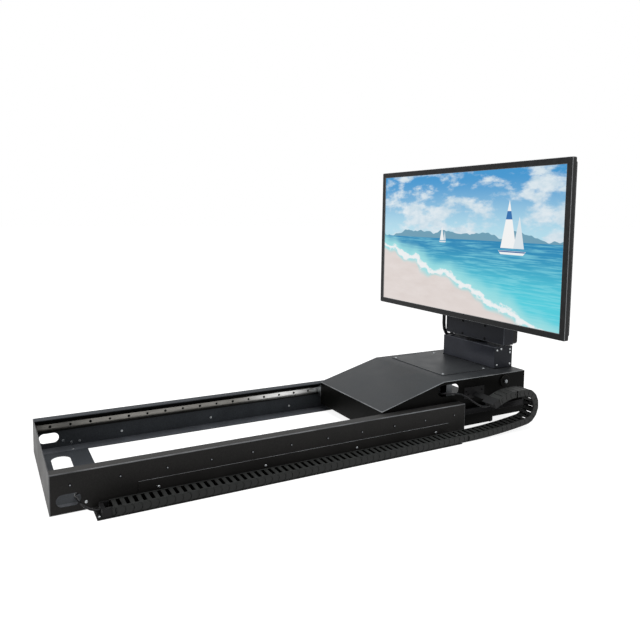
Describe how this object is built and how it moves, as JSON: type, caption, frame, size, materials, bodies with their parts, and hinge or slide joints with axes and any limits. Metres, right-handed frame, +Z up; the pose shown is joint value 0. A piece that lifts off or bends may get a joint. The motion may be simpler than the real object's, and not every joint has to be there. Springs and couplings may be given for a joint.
{
  "type": "tv lift mechanism",
  "caption": "Under-bed TV lift: flat steel base, wedge-shaped carriage on slide rails, fold-down column and swivel head carrying a flat TV, fed by a cable chain.",
  "frame": {"origin": "plan centre of the base on the floor, which is the centre of the four floor anchor holes", "axes": "+X along the base towards its open end, where the carriage comes out; +Y away from the cable chain; +Z up"},
  "size_m": [1.672, 0.986, 0.9365],
  "materials": {
    "base_black": "fine textured powder coat",
    "carriage_grey": "satin powder coat",
    "column_slate": "satin powder coat",
    "zinc": "bright zinc plate",
    "steel": "plain machined",
    "black_plastic": "matt",
    "black_bolt": "black oxide",
    "chain_grey": "matt",
    "cable": "smooth sheath",
    "tv_black": "satin",
    "screen": "lit picture"
  },
  "bodies": {
    "base": {"side_channel_near": "base_black", "side_channel_far": "base_black", "end_plate": "base_black", "floor_plate": "base_black", "rail_near": "zinc", "rail_far": "zinc", "rail_rivets": "steel", "wall_screws": "zinc", "chain_tray": "base_black", "chain_anchor": "black_plastic", "chain_lower_run": "chain_grey", "drive_rack": "steel", "junction_box": "black_plastic", "base_cable": "cable"},
    "carriage": {"carriage_side_near": "base_black", "carriage_side_far": "base_black", "ramp_cover": "carriage_grey", "service_cover": "carriage_grey", "carriage_screws": "zinc", "front_panel": "base_black", "floor_pan": "carriage_grey", "runner_near": "steel", "runner_far": "steel", "traverse_motor": "steel", "flip_motor": "steel", "control_box": "black_plastic", "pivot_bushes": "steel", "chain_bracket": "black_plastic", "chain_upper_run": "chain_grey", "carriage_cable": "cable", "roller_forks": "base_black"},
    "rollers": {"support_rollers": "black_plastic"},
    "traverse_gear": {"traverse_pinion": "steel"},
    "flip_gear": {"flip_pinion": "steel"},
    "swivel_drive_gear": {"swivel_pinion": "steel"},
    "chain_bend": {"chain_loop": "chain_grey"},
    "chain_passing": {"chain_passing_run": "chain_grey"},
    "column": {"pivot_shaft": "steel", "pivot_discs": "base_black", "pivot_bolts": "zinc", "flip_arms": "column_slate", "flip_sector": "steel", "column_housing": "column_slate", "column_end_covers": "column_slate", "column_screws": "zinc", "swivel_bush": "steel", "swivel_motor": "steel"},
    "head": {"swivel_spindle": "steel", "swivel_gear": "steel", "head_housing": "column_slate", "head_rear_cover": "black_plastic", "head_bolts": "black_bolt", "mast": "column_slate", "tv_plate": "column_slate", "tv_arms": "column_slate", "tv_bezel": "tv_black", "tv_screen": "screen", "tv_rear_shell": "tv_black", "tv_rear_box": "tv_black", "tv_cable": "cable"}
  },
  "joints": [
    {"name": "carriage_slide", "type": "slide", "parent": "base", "child": "carriage", "axis": [1, 0, 0], "range_m": [-0.9844, 0]},
    {"name": "column_flip", "type": "hinge", "parent": "carriage", "child": "column", "pos_m": [0.891, 0, 0.153], "axis": [0, 1, 0], "range_deg": [0, 90]},
    {"name": "head_swivel", "type": "hinge", "parent": "column", "child": "head", "pos_m": [0.95, 0, 0.262], "axis": [0, 0, 1], "range_deg": [-90, 90]},
    {"name": "traverse_pinion_spin", "type": "hinge", "parent": "carriage", "child": "traverse_gear", "pos_m": [0.43, -0.2225, 0.0369], "axis": [0, 1, 0], "continuous": true},
    {"name": "roller_spin", "type": "hinge", "parent": "carriage", "child": "rollers", "pos_m": [0.848, 0, 0.011], "axis": [0, 1, 0], "continuous": true},
    {"name": "chain_loop_slide", "type": "slide", "parent": "base", "child": "chain_bend", "axis": [1, 0, 0], "range_m": [-0.4922, 0]},
    {"name": "chain_passing_slide", "type": "slide", "parent": "base", "child": "chain_passing", "axis": [0.9084, 0, -0.4181], "range_m": [-0.29065, 0], "deforming": ["chain_passing_run"]},
    {"name": "flip_pinion_spin", "type": "hinge", "parent": "carriage", "child": "flip_gear", "pos_m": [0.87185, 0.044, 0.10038], "axis": [0, 1, 0], "range_deg": [-225, 0]},
    {"name": "swivel_pinion_spin", "type": "hinge", "parent": "column", "child": "swivel_drive_gear", "pos_m": [0.95, -0.039, 0.218], "axis": [0, 0, 1], "range_deg": [-202.5, 202.5]}
  ],
  "couplings": [
    {"joint": "traverse_pinion_spin", "follows": "carriage_slide", "rad_per_m": 62.5},
    {"joint": "roller_spin", "follows": "carriage_slide", "rad_per_m": 90.909},
    {"joint": "chain_loop_slide", "follows": "carriage_slide", "ratio": 0.5},
    {"joint": "chain_passing_slide", "follows": "carriage_slide", "ratio": 0.29526},
    {"joint": "flip_pinion_spin", "follows": "column_flip", "ratio": -2.5},
    {"joint": "swivel_pinion_spin", "follows": "head_swivel", "ratio": -2.25}
  ]
}
